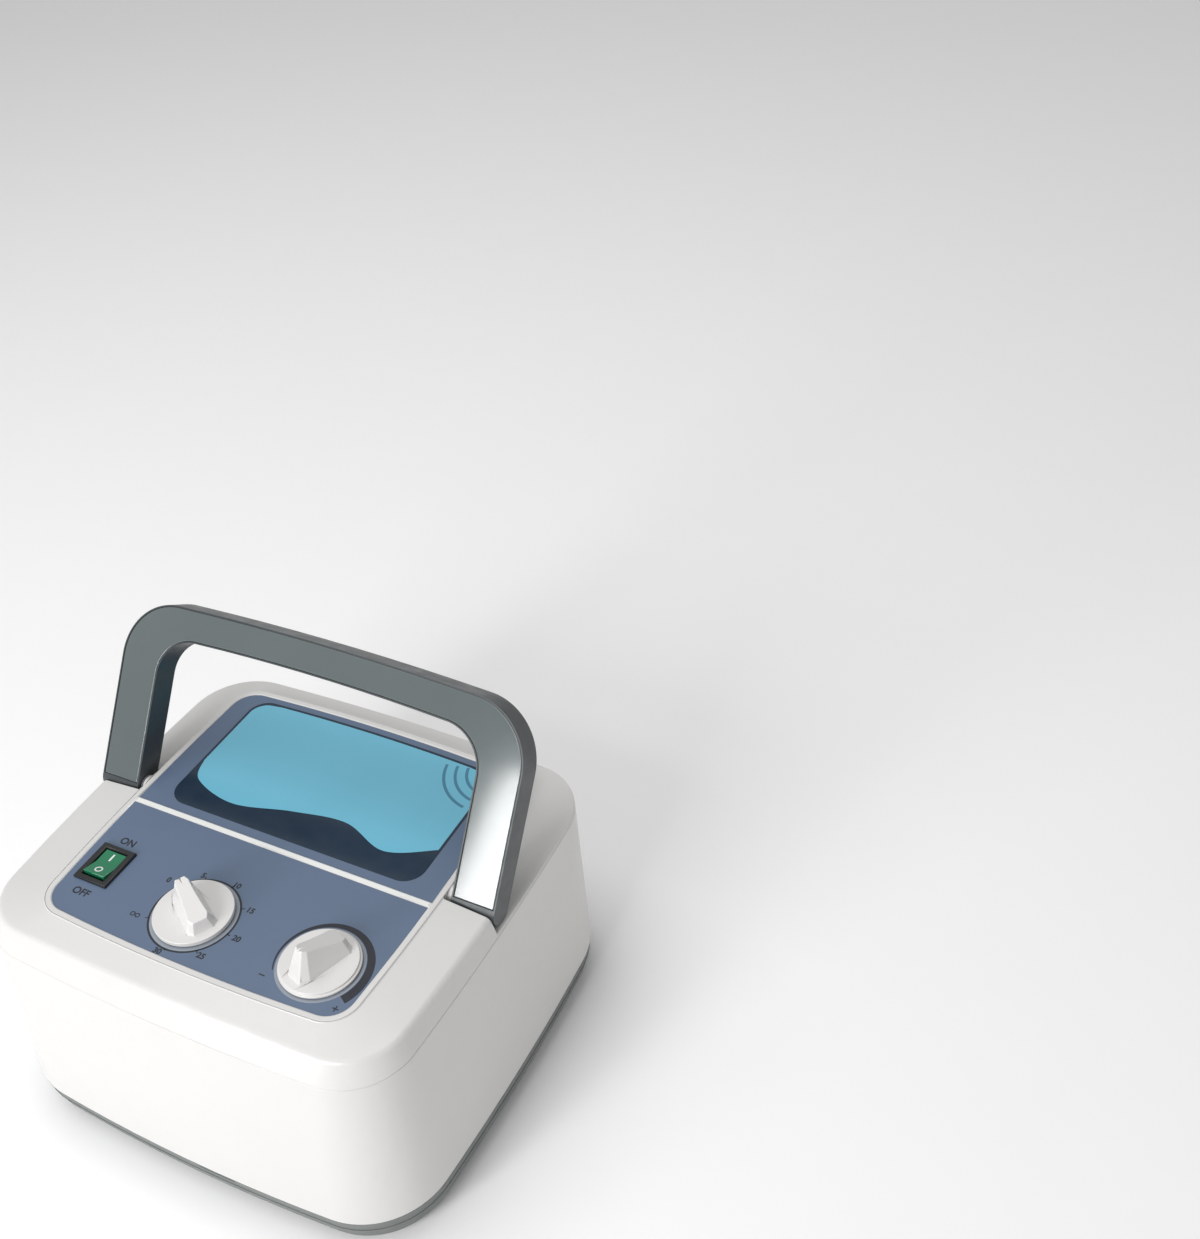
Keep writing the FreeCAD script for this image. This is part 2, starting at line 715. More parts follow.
def make_main_housing():
    """The white wall of the body with its rear bays and the posts that the screws go into."""
    wall = size("wall")
    outside = tapered("housing_outside", [(HOUSING, "tray_top", 0.0), (SEAM, "seam_height", 0.0)])
    inside = tapered("housing_inside", [(HOUSING, "tray_top - 0.01", -wall), (SEAM, "seam_height + 0.01", -wall)])
    skin = cut("housing_skin", outside, inside)
    bays = []
    pockets = []
    for name, centre, height in (("outlet", "outlet_across", "outlet_height"),
                                 ("inlet", "inlet_across", "inlet_height")):
        width = f"{name}_bay_width / 2"
        tall = f"{name}_bay_height / 2"
        bays.append(block(name + "_bay", f"{centre} - {width} - wall", f"{centre} + {width} + wall",
                          "bay_floor - wall", "housing_rear", f"{height} - {tall} - wall",
                          f"{height} + {tall} + wall"))
        pockets.append(block(name + "_bay_pocket", f"{centre} - {width}", f"{centre} + {width}", "bay_floor",
                             "housing_rear + 5", f"{height} - {tall}", f"{height} + {tall}"))
    bay_blocks = common("bay_blocks", join("bays", *bays), tapered(
        "bay_limit", [(HOUSING, "tray_top", -0.5), (SEAM, "seam_height", -0.5)]))
    posts = at_points("housing_post", corner_points(), lambda name, across, along: rod(
        name, "z", "tray_top + 4", "post_top - 0.2", "post_radius + 0.8", across, along))
    webs = at_points("post_web", corner_points(), lambda name, across, along: block(
        name, *outwards(across, 3, 15), f"{along} - 1", f"{along} + 1", "tray_top + 8", "post_top - 6"))
    bosses = at_points("tray_boss", tray_screw_points(), lambda name, across, along: rod(
        name, "z", "tray_top + lip_height + 0.3", "tray_top + 16", "post_radius", across, along))
    tabs = at_points("boss_web", tray_screw_points(), lambda name, across, along: block(
        name, f"{across} - 1.5", f"{across} + 1.5", *outwards(along, 2, 10), "tray_top + lip_height + 0.5",
        "tray_top + 15"))
    inner_limit = tapered("post_limit", [(HOUSING, "tray_top", -1.0), (SEAM, "seam_height", -1.0)])
    supports = common("housing_supports", join("supports", *posts, *webs, *bosses, *tabs), inner_limit)
    solid = join("housing_solid", skin, bay_blocks, supports)
    drilled = at_points("post_bore", corner_points(), lambda name, across, along: rod(
        name, "z", "tray_top", "post_shelf", "screw_head_radius + 0.4", across, along))
    drilled += at_points("post_hole", corner_points(), lambda name, across, along: rod(
        name, "z", "post_shelf - 1", "post_top + 1", "screw_radius + 0.2", across, along))
    drilled += at_points("boss_hole", tray_screw_points(), lambda name, across, along: rod(
        name, "z", "tray_top", "tray_top + 11", "screw_radius - 0.1", across, along))
    ports = [rod(f"socket_hole_{i}", "y", "bay_floor - wall - 1", "bay_floor + 1", "outlet_tube + 0.2",
                 across=place_of, up="outlet_height") for i, place_of in enumerate(outlet_places(), start=1)]
    inlet_hole = block("inlet_hole", "inlet_across - 12.2", "inlet_across + 12.2", "bay_floor - wall - 1",
                       "bay_floor + 1", "inlet_height - 8.2", "inlet_height + 8.2")
    node("main_housing", cut("housing", solid, *pockets, *drilled, *ports, inlet_hole))


def outlet_places():
    """Formulas of the outlet centres across the body."""
    return [f"(outlet_across + {step} * outlet_spacing)" for step in (-1.5, -0.5, 0.5, 1.5)]


def make_base_tray():
    """The grey base: a shallow tray with a rounded lower edge, posts for the pump and slots for air."""
    wall = size("wall")
    taper = size("tray_taper")
    edge = size("tray_edge_radius")
    sections = []
    for degrees in (0, 30, 60, 90):
        rise = 1 - math.cos(math.radians(degrees))
        inset = 1 - math.sin(math.radians(degrees))
        sections.append((HOUSING, f"foot_height + tray_edge_radius * {rise:.4f}", -taper - edge * inset))
    form = tapered("tray_form", sections + [(HOUSING, "tray_top", 0.0)])
    hollow = tapered("tray_hollow", [(HOUSING, "foot_height + wall", -taper - wall),
                                     (HOUSING, "tray_top + 0.01", -wall)])
    lip_outside = -wall - size("tray_lip_clearance")
    lip_inside = lip_outside - size("lip_wall")
    lip = cut("tray_lip",
              slab("tray_lip_outside", HOUSING, "tray_top - 4", "tray_top + lip_height", lip_outside),
              slab("tray_lip_inside", HOUSING, "foot_height", "tray_top + lip_height + 1", lip_inside))
    lip_join = cut("tray_lip_join",
                   slab("tray_lip_join_outside", HOUSING, "tray_top - 6", "tray_top - 1", -1.0),
                   slab("tray_lip_join_inside", HOUSING, "foot_height", "tray_top + 1", lip_inside))
    posts = at_points("tray_post", tray_screw_points(), lambda name, across, along: rod(
        name, "z", "foot_height", "tray_top + lip_height", "post_radius", across, along))
    posts += at_points("pump_post", pump_mount_points(), lambda name, across, along: rod(
        name, "z", "foot_height", "pump_seat", "pump_mount_radius - 1", across, along))
    posts.append(ring("motor_seat", "z", "foot_height", "motor_base", "motor_radius - 1", "motor_radius - 8",
                      "distributor_across", "distributor_along"))
    solid = join("tray_solid", cut("tray_shell", form, hollow), lip, lip_join, *posts)
    holes = at_points("tray_hole", tray_screw_points(), lambda name, across, along: rod(
        name, "z", "foot_height - 1", "tray_top + 9", "screw_radius + 0.2", across, along))
    holes += at_points("tray_head_hole", tray_screw_points(), lambda name, across, along: rod(
        name, "z", "foot_height - 1", "foot_height + 10", "screw_head_radius + 0.3", across, along))
    holes += at_points("foot_hole", foot_points(), lambda name, across, along: rod(
        name, "z", "foot_height - 1", "tray_floor + 1", "foot_stem_radius + 0.1", across, along))
    holes += at_points("post_clear", corner_points(), lambda name, across, along: rod(
        name, "z", "foot_height + wall", "tray_top + 9", "post_radius + 1.2", across, along))
    holes += [block(f"floor_slot_{i}", "-22", "22", f"{8 * i - 62}", f"{8 * i - 59}", "foot_height - 1",
                    "foot_height + wall + 1") for i in range(5)]
    holes.append(block("front_slot", "6", "26", "housing_front - 1", "housing_front + 9", "tray_top - 3",
                       "tray_top - 0.8"))
    node("base_tray", cut("tray", solid, *holes))


def pump_mount_points():
    """Formulas of the four rubber mounts under the pump."""
    return [(f"(pump_across {side} (pump_half - pump_mount_inset))",
             f"(pump_along {end} (pump_width / 2 - pump_mount_inset))") for end in "-+" for side in "-+"]


def make_panels():
    """The printed sheets in the platform's recesses, and the window."""
    gap_size = size("sheet_gap")

    def sheet_part(name, low, high):
        area = slab(name + "_area", PANEL, "panel_height - sheet_thickness", "panel_height", -gap_size)
        side = block(name + "_side", "-housing_half", "housing_half", low, high, "panel_height - 3",
                     "panel_height + 3")
        return common(name + "_sheet", area, side)

    control = sheet_part("control", "housing_front", "divider_front - sheet_gap")
    display = sheet_part("display", "divider_rear + sheet_gap", "housing_rear")
    openings = [
        rod("timer_sheet_hole", "z", "panel_height - 3", "panel_height + 3", "nut_flats / 2 + 2",
            "timer_across", "timer_along"),
        rod("pressure_sheet_hole", "z", "panel_height - 3", "panel_height + 3", "nut_flats / 2 + 2",
            "pressure_across", "pressure_along"),
        block("switch_sheet_hole", "switch_across - switch_width / 2 - 0.2",
              "switch_across + switch_width / 2 + 0.2", "switch_along - switch_length / 2 - 0.2",
              "switch_along + switch_length / 2 + 0.2", "panel_height - 3", "panel_height + 3"),
    ]
    node("control_overlay", cut("control_cut", control, *openings))
    body = window_body("window_opening", "panel_height - 3", "6", gap_size)
    node("display_overlay", cut("display_cut", display, body))
    node("display_window", window_body("window", "panel_height - sheet_thickness", "sheet_thickness", 0.0))


def window_body(name, low, thickness, grow):
    """The window's area: straight front and sides, a bowed rear edge and round corners."""
    body = new_body(name)
    sketch = sketch_on(body, name + "_area", "XY_Plane", low)
    half = size("window_half") + grow
    front = size("window_front") - grow
    rear = size("window_rear") + grow
    side_end = rear - size("window_rear_bow")
    corners = [Vector(-half, side_end, 0), Vector(-half, front, 0), Vector(half, front, 0),
               Vector(half, side_end, 0)]
    for start, end in zip(corners, corners[1:]):
        sketch.addGeometry(Part.LineSegment(start, end), False)
    sketch.addGeometry(Part.Arc(corners[3], Vector(0, rear, 0), corners[0]), False)
    pad(body, sketch, thickness)
    round_edges(body, name + "_corners", f"window_corner + {grow}", is_upright)
    return body


def is_upright(edge):
    box = edge.BoundBox
    return box.XLength < 0.01 and box.YLength < 0.01


# ---- carrying handle ----

def handle_outline(sketch, inset=0.0, leg_end=0.0):
    """The U of the handle, drawn upright from the pivot, with its edges moved in by inset."""
    half = size("handle_half") - inset
    inner_half = size("handle_inner_half") + inset
    top = size("handle_top") - inset
    inner_top = size("handle_inner_top") + inset
    corner = size("handle_corner") - inset
    inner_corner = size("handle_inner_corner") + inset
    bow = size("handle_bow")

    def shoulder(reach, height, radius):
        """Start, knee and end of the left corner arc."""
        diagonal = radius * (1 - math.sqrt(0.5))
        return [Vector(-reach, height - radius, 0), Vector(-reach + diagonal, height - diagonal, 0),
                Vector(-reach + radius, height, 0)]

    def mirrored(points):
        return [Vector(-point.x, point.y, 0) for point in reversed(points)]

    outer = shoulder(half, top, corner)
    inner = shoulder(inner_half, inner_top, inner_corner)
    outer_right = mirrored(outer)
    inner_right = mirrored(inner)
    edges = [
        Part.LineSegment(Vector(-half, leg_end, 0), outer[0]),
        Part.Arc(*outer),
        Part.Arc(outer[2], Vector(0, top + bow, 0), outer_right[0]),
        Part.Arc(*outer_right),
        Part.LineSegment(outer_right[2], Vector(half, leg_end, 0)),
        Part.LineSegment(Vector(half, leg_end, 0), Vector(inner_half, leg_end, 0)),
        Part.LineSegment(Vector(inner_half, leg_end, 0), inner_right[2]),
        Part.Arc(inner_right[2], inner_right[1], inner_right[0]),
        Part.Arc(inner_right[0], Vector(0, inner_top + bow, 0), inner[2]),
        Part.Arc(inner[2], inner[1], inner[0]),
        Part.LineSegment(inner[0], Vector(-inner_half, leg_end, 0)),
        Part.LineSegment(Vector(-inner_half, leg_end, 0), Vector(-half, leg_end, 0)),
    ]
    for edge in edges:
        sketch.addGeometry(edge, False)


def handle_plate(name, front, thickness, inset=0.0, leg_end=0.0):
    """The U as a plate, upright at the pivot, from front towards the rear."""
    body = new_body(name)
    sketch = sketch_on(body, name + "_outline", "XZ_Plane", f"-({front}) - ({thickness})")
    handle_outline(sketch, inset, leg_end)
    pad(body, sketch, thickness)
    return body


def lean_back(thing):
    """Turn a piece about the pivot to the handle's leaning position, and put it there."""
    thing.Placement = Placement(Vector(), Rotation(Vector(1, 0, 0), -size("handle_lean")))
    return place(thing, "0", "pivot_back", "pivot_height")


def make_handle():
    """Dark back half with round hubs, lighter face half let into it, pins and friction washers."""
    plate = handle_plate("handle_body", "-handle_thickness / 2", "handle_thickness")
    hubs = [rod("hub_right", "x", "handle_inner_half", "handle_half", "handle_thickness / 2"),
            rod("hub_left", "x", "-handle_half", "-handle_inner_half", "handle_thickness / 2")]
    bed = handle_plate("face_bed", "-handle_thickness / 2 - 1", "face_thickness + 1", size("face_margin"),
                       size("face_foot"))
    bores = [rod("pin_hole_right", "x", "handle_inner_half - 1", "pin_outer", "pin_radius"),
             rod("pin_hole_left", "x", "-pin_outer", "-handle_inner_half + 1", "pin_radius")]
    back = cut("handle_core", join("handle_round", plate, *hubs), bed, *bores)
    node("handle_back", lean_back(back))
    gap = size("face_gap")
    face = handle_plate("handle_front", "-handle_thickness / 2", "face_thickness", size("face_margin") + gap,
                        size("face_foot") + gap)
    node("handle_face", lean_back(face))
    pins = [rod("pin_right", "x", "pin_inner", "pin_outer - 0.2", "pin_radius",
                along="pivot_back", up="pivot_height"),
            rod("pin_left", "x", "-pin_outer + 0.2", "-pin_inner", "pin_radius",
                along="pivot_back", up="pivot_height")]
    node("handle_pins", group("pins", pins))
    start = "pivot_boss_half + 0.1"
    washers = [ring("washer_right", "x", start, f"{start} + washer_thickness", "pivot_boss_radius",
                    "pin_radius + 0.1", along="pivot_back", up="pivot_height"),
               ring("washer_left", "x", f"-({start}) - washer_thickness", f"-({start})", "pivot_boss_radius",
                    "pin_radius + 0.1", along="pivot_back", up="pivot_height")]
    node("handle_washers", group("washers", washers))


# ---- rocker switch ----

def make_switch():
    """Switch housing with its bezel, the rocker, and the blade terminals under it."""
    def rectangle(name, width, length, low, high):
        return block(name, f"switch_across - ({width}) / 2", f"switch_across + ({width}) / 2",
                     f"switch_along - ({length}) / 2", f"switch_along + ({length}) / 2", low, high)

    bezel = rectangle("bezel", "bezel_width", "bezel_length", "panel_height", "panel_height + bezel_rise")
    case = rectangle("switch_case", "switch_width", "switch_length", "panel_height - switch_depth",
                     "panel_height + 0.5")
    cavity = rectangle("switch_cavity", "rocker_width + 2 * rocker_gap", "2 * rocker_half_length + 1.2",
                       "rocker_pivot - 7", "panel_height + 9")
    sockets = rod("rocker_sockets", "x", "switch_across - rocker_width / 2 - 1.4",
                  "switch_across + rocker_width / 2 + 1.4", "rocker_pin_radius + running_clearance",
                  along="switch_along", up="rocker_pivot")
    body = cut("switch_hollow", join("switch_solid", bezel, case), cavity, sockets)
    node("switch_body", body)

    half = size("rocker_half_length")
    rocker = new_body("rocker")
    profile = sketch_on(rocker, "rocker_profile", "YZ_Plane", "-rocker_width / 2")
    draw_polygon(profile, [(-half, 2.9), (0, 1.7), (half, 2.9), (half - 0.9, -1.6), (2.6, -4.0), (-2.6, -4.0),
                           (-half + 0.9, -1.6)])
    pad(rocker, profile, "rocker_width")
    tilted = join("rocker_tilted", rocker, rod("rocker_pins", "x", "-rocker_width / 2 - 1.2",
                                               "rocker_width / 2 + 1.2", "rocker_pin_radius"))
    tilted.Placement = Placement(Vector(), Rotation(Vector(1, 0, 0), -size("rocker_tilt")))
    node("power_rocker", place(tilted, "switch_across", "switch_along", "rocker_pivot"))

    blades = [block(f"blade_{i}", "switch_across - 2.4", "switch_across + 2.4", f"switch_along + {offset} - 0.4",
                    f"switch_along + {offset} + 0.4", "panel_height - switch_depth - terminal_length",
                    "panel_height - switch_depth") for i, offset in enumerate((-6, 0, 6), start=1)]
    node("switch_terminals", group("blades", blades))


# ---- knobs and what they turn ----

def grip_outlines():
    """The corners of a grip at its foot and at its full height, nose towards +X, narrower at the top."""
    nose = size("knob_radius") - size("grip_nose_inset")
    tail = size("grip_tail_inset") - size("knob_radius")
    foot = [(nose, size("grip_nose_half")), (nose - size("grip_cheek_step"), size("grip_cheek_half")),
            (tail + size("grip_hip_step"), size("grip_hip_half")), (tail, size("grip_tail_half"))]
    ridge = size("grip_ridge_half")
    top_nose = nose - size("grip_nose_slope")
    top_tail = tail + size("grip_tail_slope")
    top = [(top_nose, ridge), (top_nose - ridge, 1.4 * ridge), (top_tail + ridge, 0.8 * ridge),
           (top_tail, 0.6 * ridge)]
    return [left + [(x, -y) for x, y in reversed(left)] for left in (foot, top)]


def knob(name, skirt_steps):
    """A pointer knob at the origin, pointing along +X: skirt, falling ridge with a notch, blind socket below."""
    body = new_body(name)
    for number, (inset, low, high) in enumerate(skirt_steps):
        sketch = sketch_on(body, f"{name}_skirt_{number}", "XY_Plane", low)
        draw_circle(sketch, f"knob_radius - {inset}")
        pad(body, sketch, f"({high}) - ({low})")
    foot, top = grip_outlines()
    low = sketch_on(body, name + "_grip_low", "XY_Plane", "skirt_top - 0.4")
    draw_polygon(low, foot)
    high = sketch_on(body, name + "_grip_high", "XY_Plane", "skirt_top + grip_height")
    draw_polygon(high, top)
    loft(body, name + "_grip", [low, high])
    reach = size("knob_radius")
    peak = size("skirt_top") + size("grip_height")
    slope = math.tan(math.radians(size("grip_fall")))
    ridge_peak = peak - 0.4
    fall = sketch_on(body, name + "_fall", "XZ_Plane", "0")
    draw_polygon(fall, [(-reach, ridge_peak - slope * (reach + top[0][0])),
                        (reach, ridge_peak + slope * (reach - top[0][0])), (reach, peak + 9), (-reach, peak + 9)])
    pocket(body, fall, "2 * knob_radius", True, both_ways=True)
    shoulder = size("skirt_top") + size("grip_height") / 3
    round_edges(body, name + "_soft_grip", "grip_round", lambda edge: edge.BoundBox.ZMax > shoulder
                and edge.BoundBox.ZMin > size("skirt_top") - 0.1)
    notch = sketch_on(body, name + "_notch", "YZ_Plane", "0")
    half = size("grip_notch_half")
    draw_polygon(notch, [(-2 * half, peak + 0.9), (2 * half, peak + 0.9), (0, ridge_peak - size("grip_notch_depth"))])
    pocket(body, notch, "knob_radius", True)
    doc.recompute()
    socket = sketch_on(body, name + "_socket", "XY_Plane", "skirt_low")
    draw_circle(socket, "spindle_radius")
    pocket(body, socket, "knob_socket_depth", True)
    doc.recompute()
    clearance = sketch_on(body, name + "_nut_room", "XY_Plane", "skirt_low")
    draw_circle(clearance, "nut_flats / 2 + 1.6")
    pocket(body, clearance, "bush_rise - knob_gap + 0.5", True)
    return body


def turned(thing, pointer, across, along):
    """Turn a piece about the vertical so that +X points along the pointer's angle, and place it."""
    thing.Placement = Placement(Vector(), Rotation(Vector(0, 0, 1), size(pointer)))
    return place(thing, across, along, "0")


def nut(name, across, along):
    """A hexagon panel nut."""
    body = new_body(name)
    sketch = sketch_on(body, name + "_hexagon", "XY_Plane", "panel_height - sheet_thickness")
    reach = size("nut_flats") / math.sqrt(3)
    draw_polygon(sketch, [(reach * math.cos(math.radians(60 * i)), reach * math.sin(math.radians(60 * i)))
                          for i in range(6)])
    pad(body, sketch, "nut_thickness")
    hole = rod(name + "_hole", "z", "panel_height - 3", "panel_height + 6", "bush_radius")
    return place(cut(name + "_cut", body, hole), across, along, "0")


def make_timer():
    """Thirty minute timer: case under the panel, spindle through its bush, panel nut and pointer knob."""
    half = "timer_case / 2"
    top = "cover_underside"
    case = block("timer_box", f"timer_across - {half}", f"timer_across + {half}", f"timer_along - {half}",
                 f"timer_along + {half}", f"{top} - timer_shoulder - timer_case_depth", f"{top} - timer_shoulder")
    shoulder = rod("timer_collar", "z", f"{top} - timer_shoulder - 1", top, "timer_case / 3",
                   "timer_across", "timer_along")
    bush = rod("timer_bush", "z", f"{top} - 1", "panel_height + bush_rise", "bush_radius",
               "timer_across", "timer_along")
    bore = rod("timer_bore", "z", f"{top} - timer_case_depth / 2 - timer_shoulder", "panel_height + 9",
               "spindle_radius + running_clearance", "timer_across", "timer_along")
    node("timer_mechanism", cut("timer_body", join("timer_solid", case, shoulder, bush), bore))
    node("timer_spindle", rod("timer_shaft", "z", f"{top} - timer_case_depth / 2 - timer_shoulder + 0.2",
                              "skirt_low + knob_socket_depth - 0.3", "spindle_radius",
                              "timer_across", "timer_along"))
    node("timer_nut", nut("timer_hexagon", "timer_across", "timer_along"))
    face = knob("timer_dial", [("0", "skirt_low", "skirt_top")])
    node("timer_knob", turned(face, "timer_pointer", "timer_across", "timer_along"))
    blades = [block(f"timer_blade_{i}", f"timer_across + {offset} - 2.4", f"timer_across + {offset} + 2.4",
                    f"timer_along + {half}", f"timer_along + {half} + terminal_length",
                    f"{top} - timer_case_depth", f"{top} - timer_case_depth + 0.8")
              for i, offset in enumerate((-10, 10), start=1)]
    node("timer_terminals", group("timer_blades", blades))


def make_regulator():
    """Bleed valve under the pressure knob: body, threaded stem, needle pushed by a spring, nut and knob."""
    at = ("pressure_across", "pressure_along")
    top = "cover_underside"
    low = "regulator_low"
    body = rod("regulator_barrel", "z", low, top, "regulator_radius", *at)
    bush = rod("regulator_bush", "z", f"{top} - 1", "panel_height + bush_rise", "bush_radius", *at)
    stub = rod("regulator_nipple", "y", "pressure_along", "pressure_along + regulator_radius + 8",
               "nipple_radius", across="pressure_across", up=f"{low} + 6")
    spindle_bore = rod("regulator_bore", "z", f"{low} + 20", "panel_height + 9",
                       "spindle_radius + running_clearance", *at)
    chamber = rod("regulator_chamber", "z", f"{low} + 9", f"{low} + 21", "5.5", *at)
    seat = rod("regulator_seat", "z", f"{low} - 1", f"{low} + 10", "1.6", *at)
    side_port = rod("regulator_port", "y", "pressure_along", "pressure_along + regulator_radius + 9",
                    "1.1", across="pressure_across", up=f"{low} + 6")
    solid = join("regulator_solid", body, bush, stub)
    node("regulator_body", cut("regulator", solid, spindle_bore, chamber, seat, side_port))
    stem = rod("stem_rod", "z", f"{low} + 20.4", "skirt_low + knob_socket_depth - 0.3", "spindle_radius", *at)
    stem_bore = rod("stem_bore", "z", f"{low} + 19", f"{low} + 27.6", "1.5 + running_clearance", *at)
    node("regulator_stem", cut("stem", stem, stem_bore))
    tail = rod("needle_tail", "z", f"{low} + 15", f"{low} + 25", "1.5", *at)
    collar = rod("needle_collar", "z", f"{low} + 15", f"{low} + 17", "5.2", *at)
    tip = cone("needle_tip", f"{low} + 7.5", f"{low} + 15.5", "0.4", "1.3", *at)
    node("regulator_needle", join("needle", tail, collar, tip))
    node("regulator_nut", nut("pressure_hexagon", *at))
    face = knob("pressure_dial", [("0", "skirt_low", "skirt_low + skirt_thickness / 2"),
                                  ("0.9", "skirt_low + skirt_thickness / 2 - 0.1", "skirt_top")])
    node("pressure_knob", turned(face, "pressure_pointer", *at))
    node("regulator_spring", make_spring())


def make_spring():
    """A coil between the chamber's floor and the needle's collar."""
    wire = size("spring_wire")
    floor = size("regulator_low") + 9
    height = 6.0 - 2 * wire - 0.2
    turns = size("spring_turns")
    helix = Part.makeHelix(height / turns, height, 3.6)
    section = Part.Wire([Part.Circle(Vector(3.6, 0, 0), Vector(0, 1, 0), wire).toShape()])
    coil = Part.Wire(helix).makePipeShell([section], True, True)
    spring = doc.addObject("Part::Feature", "spring")
    spring.Shape = coil
    spring.Placement = Placement(Vector(size("pressure_across"), size("pressure_along"), floor + wire + 0.1),
                                 Rotation())
    return spring


# ---- diaphragm pump ----

def make_pump():
    """Linear pump: a magnet armature between two cores drives a rod through a membrane at each end."""
    def side(sign, inner, outer):
        """Two formulas across the pump, in rising order."""
        first, second = (inner, outer) if sign == "+" else (outer, inner)
        return f"pump_across {sign} ({first})", f"pump_across {sign} ({second})"

    y_low, y_high = "pump_along - pump_width / 2", "pump_along + pump_width / 2"
    plate = block("pump_plate_block", "pump_across - pump_half", "pump_across + pump_half", y_low, y_high,
                  "pump_base", "pump_base + pump_plate")
    walls = []
    membranes = []
    heads = []
    screws = []
    for label, sign in (("left", "-"), ("right", "+")):
        low, high = side(sign, "pump_half - pump_plate", "pump_half")
        walls.append(block("pump_wall_" + label, low, high, y_low, y_high, "pump_base", "pump_wall_top"))
        low, high = side(sign, "pump_half", "pump_half + membrane_thickness")
        membranes.append(ring("membrane_" + label, "x", low, high, "membrane_radius + 4", "rod_radius + 0.4",
                              along="pump_along", up="pump_axis"))
        heads.append(make_head(label, sign, side))
        low, high = side(sign, "pump_half + membrane_thickness + head_length",
                         "pump_half + membrane_thickness + head_length + screw_head_height")
        screws += [rod(f"head_screw_{label}_{i}", "x", low, high, "screw_head_radius",
                       along=f"pump_along {a} (head_width / 2 - 4)", up=f"pump_axis {b} (head_width / 2 - 4)")
                   for i, (a, b) in enumerate((("-", "-"), ("+", "-"), ("-", "+"), ("+", "+")), start=1)]
    opening = rod("pump_wall_opening", "x", "pump_across - pump_half - 1", "pump_across + pump_half + 1",
                  "membrane_radius - 2", along="pump_along", up="pump_axis")
    node("pump_frame", cut("pump_chassis", join("pump_bracket", plate, *walls), opening))
    node("diaphragms", group("membranes", membranes))
    node("pump_heads", group("heads", heads))
    node("head_screws", group("head_screw_set", screws))

    gap = "(armature_thickness / 2 + air_gap)"
    slot_start = "(core_leg / 2)"
    slot_end = "(core_leg / 2 + core_slot)"
    cores = []
    coils = []
    for label, sign in (("front", "-"), ("rear", "+")):
        def reach(near, far):
            """Two formulas along the pump, in rising order, of a span behind the air gap."""
            spans = (f"pump_along {sign} ({gap} + {near})", f"pump_along {sign} ({gap} + {far})")
            return spans if sign == "+" else spans[::-1]

        yoke = block("yoke_" + label, "pump_across - core_half", "pump_across + core_half",
                     *reach("0", "core_depth"), "pump_axis - core_height / 2", "pump_axis + core_height / 2")
        slots = [block(f"slot_{label}_{i}", f"pump_across + {low}", f"pump_across + {high}",
                       *reach("(-1)", "core_slot_depth"), "pump_axis - core_height", "pump_axis + core_height")
                 for i, (low, high) in enumerate(((f"(-{slot_end})", f"(-{slot_start})"), (slot_start, slot_end)),
                                                 start=1)]
        foot = block("core_foot_" + label, "pump_across - core_half + 4", "pump_across + core_half - 4",
                     *reach("(core_slot_depth + 0.2)", "core_depth"), "pump_base + pump_plate",
                     "pump_axis - core_height / 2 + 1")
        cores.append(join("core_" + label, cut("core_slotted_" + label, yoke, *slots), foot))
        winding = block("winding_" + label, f"pump_across - {slot_end} + 0.5", f"pump_across + {slot_end} - 0.5",
                        *reach("2", "(core_slot_depth - 0.5)"), "pump_axis - core_height / 2 - 7",
                        "pump_axis + core_height / 2 + 7")
        leg = block("winding_hole_" + label, f"pump_across - {slot_start} - 0.2",
                    f"pump_across + {slot_start} + 0.2", *reach("1", "(core_slot_depth + 1)"),
                    "pump_axis - core_height / 2 - 0.2", "pump_axis + core_height / 2 + 0.2")
        coils.append(cut("coil_" + label, winding, leg))
    node("pump_core", group("cores", cores))
    node("pump_coils", group("coils", coils))
    make_armature()
    mounts = [rod(name, "z", "pump_seat", "pump_base", "pump_mount_radius", across, along)
              for name, (across, along) in zip(("mount_1", "mount_2", "mount_3", "mount_4"),
                                               pump_mount_points())]
    node("pump_mounts", group("mounts", mounts))


def make_head(label, sign, side):
    """A valve head: a block with a round chamber towards the membrane and a nipple on top."""
    inner = "pump_half + membrane_thickness"
    low, high = side(sign, inner, f"{inner} + head_length")
    block_shape = block("head_block_" + label, low, high, "pump_along - head_width / 2",
                        "pump_along + head_width / 2", "pump_axis - head_width / 2", "pump_axis + head_width / 2")
    low, high = side(sign, f"{inner} - 1", f"{inner} + 7")
    chamber = rod("head_chamber_" + label, "x", low, high, "membrane_radius - 1", along="pump_along",
                  up="pump_axis")
    middle = f"pump_across {sign} ({inner} + head_length / 2)"
    nipple = rod("head_nipple_" + label, "z", "pump_axis + 18", "pump_axis + head_width / 2 + 10",
                 "nipple_radius", middle, "pump_along")
    bore = rod("head_nipple_bore_" + label, "z", "pump_axis + 12", "pump_axis + head_width / 2 + 11",
               "1.1", middle, "pump_along")
    return cut("head_" + label, join("head_solid_" + label, block_shape, nipple), chamber, bore)


